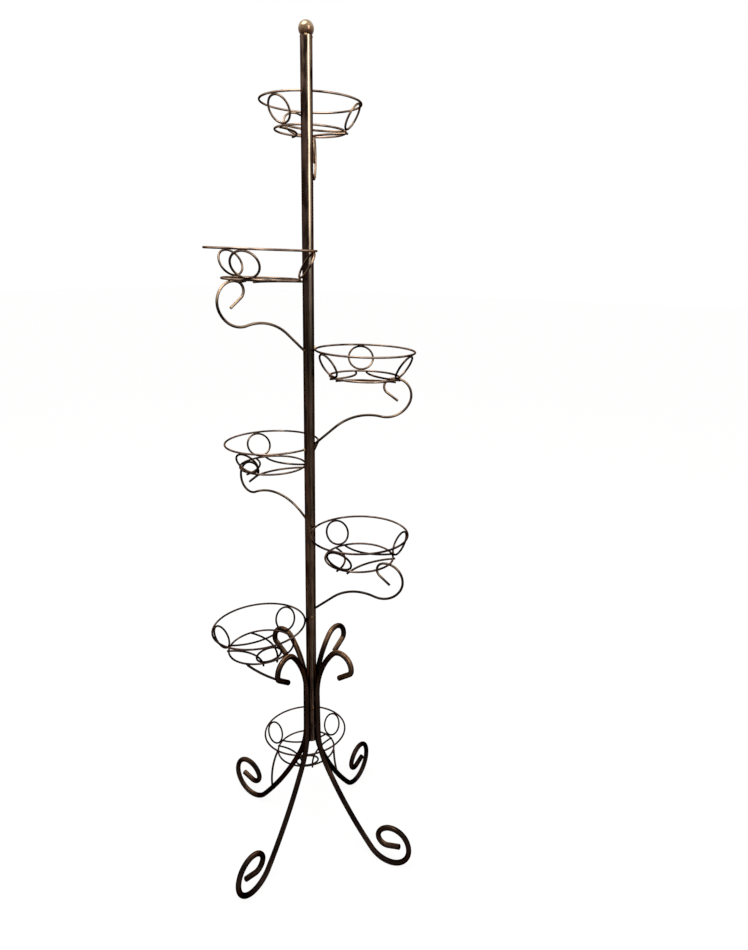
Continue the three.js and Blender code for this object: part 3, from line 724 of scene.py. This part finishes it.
def link_points(angle):
    """A ring that leans with the basket's side, between the rim and the base ring."""
    radius = math.hypot(RIM_RADIUS - BASE_RADIUS, DEPTH) / 2 - 2 * WIRE - CLEARANCE
    up = Vector((math.sin(side_slope), 0, math.cos(side_slope)))
    across = Vector((0, 1, 0))
    middle = Vector(((RIM_RADIUS + BASE_RADIUS) / 2, 0, -DEPTH / 2))
    turns = [2 * math.pi * i / LINK_STEPS for i in range(LINK_STEPS)]
    turn = Matrix.Rotation(math.radians(angle), 3, "Z")
    return [turn @ (middle + up * radius * math.cos(a) + across * radius * math.sin(a))
            for a in turns]


def bow_places(number, links):
    """Middle and half width of each bow in degrees, and how near the basket's middle it comes."""
    ends = [*links[1:], links[0] + 360]
    places = [((a + b) / 2, (b - a) / 2 - BOW_TO_LINK, BOW_INSET) for a, b in zip(links, ends)]
    return [CROSSING_BOW, *places[1:]] if number == CROSSING_BASKET else places


def bow_points(middle, spread, inset):
    tips = [polar(BOW_END, middle + s * spread, -DEPTH - BOW_DROP) for s in (-1, 1)]
    return arc(*tips, polar(inset - BOW_END * math.cos(math.radians(spread)), middle, 0))


first_bow = bow_points(*bow_places(1, BASKETS[0].links)[0])
print("the first basket's first bow has", len(first_bow), "points")

# %% Build the baskets
for number, basket in enumerate(BASKETS, 1):
    name, at = f"basket_{number}", basket_matrix(number)
    for part, radius, z, steps, weld_at in RINGS:
        ring = rod_mesh(circle(radius, z, steps), WIRE + COAT, WIRE_SIDES, True,
                        butt_weld(2 * math.pi * radius, weld_at))
        build(f"{name}_{part}_ring", [ring], basket_wire, [f"{name}_{part}"], at)
    for i, bow_place in enumerate(bow_places(number, basket.links), 1):
        bow = rod_mesh(bow_points(*bow_place), WIRE + COAT, WIRE_SIDES)
        build(f"{name}_bow_{i}", [bow], inner_wire, [f"{name}_base"], at)
    for i, angle in enumerate(basket.links, 1):
        link = rod_mesh(link_points(angle), WIRE + COAT, WIRE_SIDES, True)
        build(f"{name}_link_ring_{i}", [link], inner_wire, [f"{name}_link_{i}"], at)
print("baskets:", len(BASKETS), "with", 3 * len(BASKETS), "link rings and as many bows")

# %% [markdown]
# ## The baskets' welds
# The link rings touch the rim and the base ring at one point each, so the spot is filled with a
# bead of weld. The bows are pressed onto the base ring, and the rim is welded to the post with a
# bead on each side. All of a basket's beads are one piece, because nobody would move one alone.

# %% Beads on each basket
LINK_SEAT = 2.1  # mm from a ring's middle towards the link ring
RIM_BEAD, BASE_BEAD, BOW_BEAD, POST_BEAD = (3.6, 1.5), (3.2, 1.5), (2.2, 1.6), (3.4, 1.7)
POST_BEAD_OUT, POST_BEAD_SIDE, POST_BEAD_SLANT = 1.2, 4.2, -0.35

outward, down = LINK_SEAT * math.sin(side_slope), LINK_SEAT * math.cos(side_slope)
for number, basket in enumerate(BASKETS, 1):
    beads = []
    for angle in basket.links:
        tangent = polar(1, angle + 90, 0)
        beads.append(bead(polar(RIM_RADIUS - outward, angle, -down), tangent,
                          *RIM_BEAD, number + angle))
        beads.append(bead(polar(BASE_RADIUS + outward, angle, -DEPTH + down), tangent,
                          *BASE_BEAD, number - angle))
    for middle, spread, _ in bow_places(number, basket.links):
        for side in (-1, 1):
            angle = middle + side * spread
            beads.append(bead(polar(BASE_RADIUS, angle, -DEPTH - BOW_DROP / 2),
                              polar(1, angle, 0), *BOW_BEAD, middle + side))
    if number < len(BASKETS):
        beads += [bead(Vector((-RIM_RADIUS - POST_BEAD_OUT, side * POST_BEAD_SIDE, 0)),
                       Vector((POST_BEAD_SLANT, side, 0)), *POST_BEAD, side) for side in (-1, 1)]
    build(f"basket_{number}_welds", beads, welds, (), basket_matrix(number))
print("beads on the last basket:", len(beads))

# %% [markdown]
# ## The arms
# Under each of the five upper baskets one long rod leaves the post, sags in an S, turns up in
# a wide loop that carries the base ring, and curls back to a free tip. Its first end is cut to the
# round of the tube. The arms came from one jig, but for the fourth, so they share their bends, and
# only the first straight run is made longer or shorter, until the loop comes under the ring.

# %% The arms' bends
ARM_RADIUS, ARM_RISE, ARM_CROWN_INSET, ARM_CLEARANCE = 2.5, 39.5, 10, 0.8
SWEEP = [(-54, 120), (78, 57.5)]
FLAT_SWEEP = [(-64.5, 150), (88.5, 36)]  # the fourth arm meets the post higher up
CURL = [(130.5, 40.5), (129, 18), ("run", 32)]
# each arm's sweep, and how many degrees it stands beside its basket's middle
ARMS = [(SWEEP, -1), (SWEEP, 0), (SWEEP, 0), (FLAT_SWEEP, 2), (SWEEP, 0)]
WIRE_FLAT = WIRE * math.cos(math.pi / 6)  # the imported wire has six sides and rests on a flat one
arm_rise = math.radians(ARM_RISE)


def under_base(number):
    """Where the arm's middle line passes below the outermost point of the base ring."""
    below = -DEPTH - WIRE_FLAT - ARM_CLEARANCE - ARM_RADIUS
    return basket_matrix(number) @ polar(BASE_RADIUS, 0, below)


def arm_points(number, sweep):
    """The arm's middle line, in an upright plane, out along +X."""
    seat = under_base(number)
    reach = seat.xy.length
    start, bends = (POST_RADIUS - ARM_RADIUS, 0), [*sweep, *CURL]
    crown = max(bend(start, ARM_RISE, bends), key=lambda p: p.y)
    run = (reach - ARM_CROWN_INSET - crown.x) / math.cos(arm_rise)
    line = bend(start, ARM_RISE, [("run", run), *bends])
    heights = [a.y + (b.y - a.y) * (reach - a.x) / (b.x - a.x) for a, b in zip(line, line[1:])
               if (a.x - reach) * (b.x - reach) <= 0 and a.x != b.x]
    return [Vector((p.x, 0, p.y + seat.z - max(heights))) for p in line]


print("arm 1 leaves the post at", round(arm_points(1, SWEEP)[0].z), "mm")

# %% Build the arms
CUT_CIRCLES, CUT_SUNK = 5, 0.1  # how many circles the cut reaches, and mm into the tube
FOOT_BEAD, SEAT_BEAD = (3.6, 1.7), (2.6, 1.5)
FOOT_BEAD_OUT, FOOT_BEAD_SIDE = 3.4, 2.2  # mm away from the post, and beside the arm
FOOT_BEAD_TILT = (0.3, 0.5)  # how far a foot's bead leans outward and sideways, for 1 up
SEAT_BEAD_UP = 2.9  # mm above the arm's middle, where it passes under the base ring


def against_post(vertices, sides):
    """Slides the first circles along the rod until they lie on the tube's outside."""
    rise = Vector((math.cos(arm_rise), 0, math.sin(arm_rise)))
    moved = list(vertices)
    for i in range(CUT_CIRCLES * sides):
        v = moved[i]
        edge = math.sqrt((POST_RADIUS - CUT_SUNK) ** 2 - v.y ** 2)
        if v.x < edge:
            moved[i] = v + rise * ((edge - v.x) / rise.x)
    return moved


for number, (sweep, turn) in enumerate(ARMS, 1):
    round_post = Matrix.Rotation(math.radians(BASKETS[number - 1].azimuth + turn), 4, "Z")
    points = arm_points(number, sweep)
    arm = rod_mesh(points, ARM_RADIUS + COAT, ARM_SIDES, shape=against_post)
    build(f"curled_arm_{number}", [arm], arm_rod, [f"arm_{number}"], round_post)
    foot = points[0] + Vector((FOOT_BEAD_OUT, 0, FOOT_BEAD_OUT * math.tan(arm_rise)))
    lean_out, lean_aside = FOOT_BEAD_TILT
    beads = [bead(foot + Vector((0.2, side * FOOT_BEAD_SIDE, 0)),
                  Vector((lean_out, side * lean_aside, 1)), *FOOT_BEAD, number + side)
             for side in (-1, 1)]
    seat = round_post.inverted() @ under_base(number)
    beads.append(bead(Vector((seat.x, seat.y, seat.z + SEAT_BEAD_UP)), Vector((0, 1, 0)),
                      *SEAT_BEAD, number))
    build(f"arm_{number}_welds", beads, welds, (), round_post)
print("arms:", len(ARMS))

# %% [markdown]
# ## The stays
# The two lowest baskets have no arm: short bent rods tie their base rings to the legs instead.
# Each is one arc between two known places, so the list only says where it starts, which leg it
# meets and how high, and how far it sags.

# %% The stays
STAY_RADIUS = 2.5
STAYS = [  # name, basket, angle on its base ring, leg, half of the leg, height, bulge
    ("basket_6_stay", 6, 64.5, 4, "hook", 516, (0, 0, -5)),
    ("basket_7_stay_left", 7, 80.5, 3, "foot", 66, (-7, -4, 0)),
    ("basket_7_stay_right", 7, 254.5, 2, "foot", 98, (-2, -1, 0)),
]
RING_GAP, BAR_GAP = 2.4, 0.6  # mm from the ring's middle to the rod's end, and from the bar's skin
RING_BEAD, BAR_BEAD, BAR_BEAD_BACK = (2.6, 2.3), (3.4, 2.6), 0.5


def leg_point(leg, half, height):
    """Where a leg's middle line first comes to a height, going out from its tip or its start."""
    azimuth, hook_turn = LEGS[leg - 1]
    line, turn = (hook_line, hook_turn) if half == "hook" else (foot_line, 0)
    for a, b in zip(line, line[1:]):
        t = (height - lift - a.y) / (b.y - a.y) if b.y != a.y else -1
        if 0 <= t < 1:
            return polar(a.lerp(b, t).x, azimuth + turn, height)


for name, number, angle, leg, half, height, bulge in STAYS:
    start = basket_matrix(number) @ polar(BASE_RADIUS, angle, -DEPTH - WIRE)
    end = leg_point(leg, half, height)
    points = arc(start, end, Vector(bulge))
    first = next(i for i, p in enumerate(points) if (p - points[0]).length > RING_GAP)
    last = next(i for i, p in enumerate(points) if (p - end).length < LEG_RADIUS + BAR_GAP)
    stay = rod_mesh(points[first:last + 1], STAY_RADIUS + COAT, ARM_SIDES)
    build(f"{name}_rod", [stay], arm_rod, [name])
    way = (points[last] - points[last - 2]).normalized()
    beads = [bead(points[first - 1], points[first + 1] - points[first], *RING_BEAD, angle),
             bead(points[last] - way * BAR_BEAD_BACK, way.orthogonal(), *BAR_BEAD, height)]
    build(f"{name}_welds", beads, welds)
    print(name, round((end - start).length), "mm from ring to bar")

# %% [markdown]
# ## Floor, background and light
# The photograph was cut out on white, so the floor and the world are white to the camera. The
# floor could be left out, but then the stand would float. It is matt paper that keeps the stand's
# soft shadow, and it glows a little so that the shadow stays as faint as in the photograph. A tall
# strip lamp stands to the right of the camera: on a dark shiny tube it is the long pale line that
# the eye reads as polished metal.

# %% The paper floor
FLOOR_HALF, FLOOR_DOWN = 30, 0.0002  # m
FIBRE = 4  # mm: the clouds in the paper
GLOW, GLOW_SHARE = 1.02, 0.86  # what camera and reflections see of the floor is mostly glow
WHITE = (1, 1, 1, 1)

paper, tree = new_material("matt_paper")
place = add(tree, "ShaderNodeTexCoord").outputs["Object"]
fibre = add(tree, "ShaderNodeTexNoise", Vector=place, Scale=per_metre(FIBRE),
            Detail=2.0).outputs["Fac"]
sheet = add(tree, "ShaderNodeValToRGB",
            stops=[(NOISE_LOW, colour("#f7f6f4")), (NOISE_HIGH, colour("#fdfcfb"))],
            Fac=fibre).outputs["Color"]
matt = add(tree, "ShaderNodeBsdfDiffuse", Color=sheet, Roughness=1.0).outputs["BSDF"]
glow = add(tree, "ShaderNodeEmission", Color=WHITE, Strength=GLOW).outputs["Emission"]
rays = add(tree, "ShaderNodeLightPath").outputs
seen = add(tree, "ShaderNodeMath", {"operation": "MAXIMUM"}, _0=rays["Is Camera Ray"],
           _1=rays["Is Glossy Ray"]).outputs["Value"]
share = add(tree, "ShaderNodeMath", {"operation": "MULTIPLY"}, _0=seen,
            _1=GLOW_SHARE).outputs["Value"]
surface = add(tree, "ShaderNodeMixShader", Fac=share, _1=matt, _2=glow).outputs["Shader"]
add(tree, "ShaderNodeOutputMaterial", Surface=surface)

floor_mesh = bpy.data.meshes.new("floor")
corners = [(x * FLOOR_HALF, y * FLOOR_HALF, 0) for x, y in ((-1, -1), (1, -1), (1, 1), (-1, 1))]
floor_mesh.from_pydata(corners, [], [(0, 1, 2, 3)])
floor_mesh.materials.append(paper)
floor = bpy.data.objects.new("floor", floor_mesh)
floor.location.z = -FLOOR_DOWN
bpy.context.scene.collection.objects.link(floor)
print("floor:", 2 * FLOOR_HALF, "m square")

# %% The white world
ROOM_LIGHT = 0.85  # what it lights the stand with; camera and reflections see plain white

world = bpy.data.worlds.new("white studio")
bpy.context.scene.world = world
world.use_nodes = True
tree = world.node_tree
tree.nodes.clear()
rays = add(tree, "ShaderNodeLightPath").outputs
seen = rays["Is Camera Ray"]
for kind in ("Is Glossy Ray", "Is Transmission Ray"):
    seen = add(tree, "ShaderNodeMath", {"operation": "MAXIMUM"}, _0=seen,
               _1=rays[kind]).outputs["Value"]
room = add(tree, "ShaderNodeBackground", Color=WHITE, Strength=ROOM_LIGHT).outputs["Background"]
plain = add(tree, "ShaderNodeBackground", Color=WHITE, Strength=1.0).outputs["Background"]
surface = add(tree, "ShaderNodeMixShader", Fac=seen, _1=room, _2=plain).outputs["Shader"]
add(tree, "ShaderNodeOutputWorld", Surface=surface)
print("the world's light is", ROOM_LIGHT, "and it shows as 1")

# %% The lamps
def lamp(name, place, target, width, height, power):
    """A rectangular lamp that looks at a target; metres and watts."""
    data = bpy.data.lights.new(name, "AREA")
    data.shape = "RECTANGLE"
    data.size, data.size_y, data.energy = width, height, power
    light = bpy.data.objects.new(name, data)
    light.location = place
    light.rotation_euler = (Vector(target) - Vector(place)).to_track_quat("-Z", "Y").to_euler()
    bpy.context.scene.collection.objects.link(light)


lamp("strip_lamp_right", (1.8, -0.42, 2.2), (0, 0, 2.2), width=0.8, height=1.3, power=16)
lamp("soft_lamp_above", (-0.2, -0.8, 3.4), (0, 0, 1.0), width=1.4, height=1.4, power=26)
bpy.context.scene.view_settings.view_transform = "Standard"
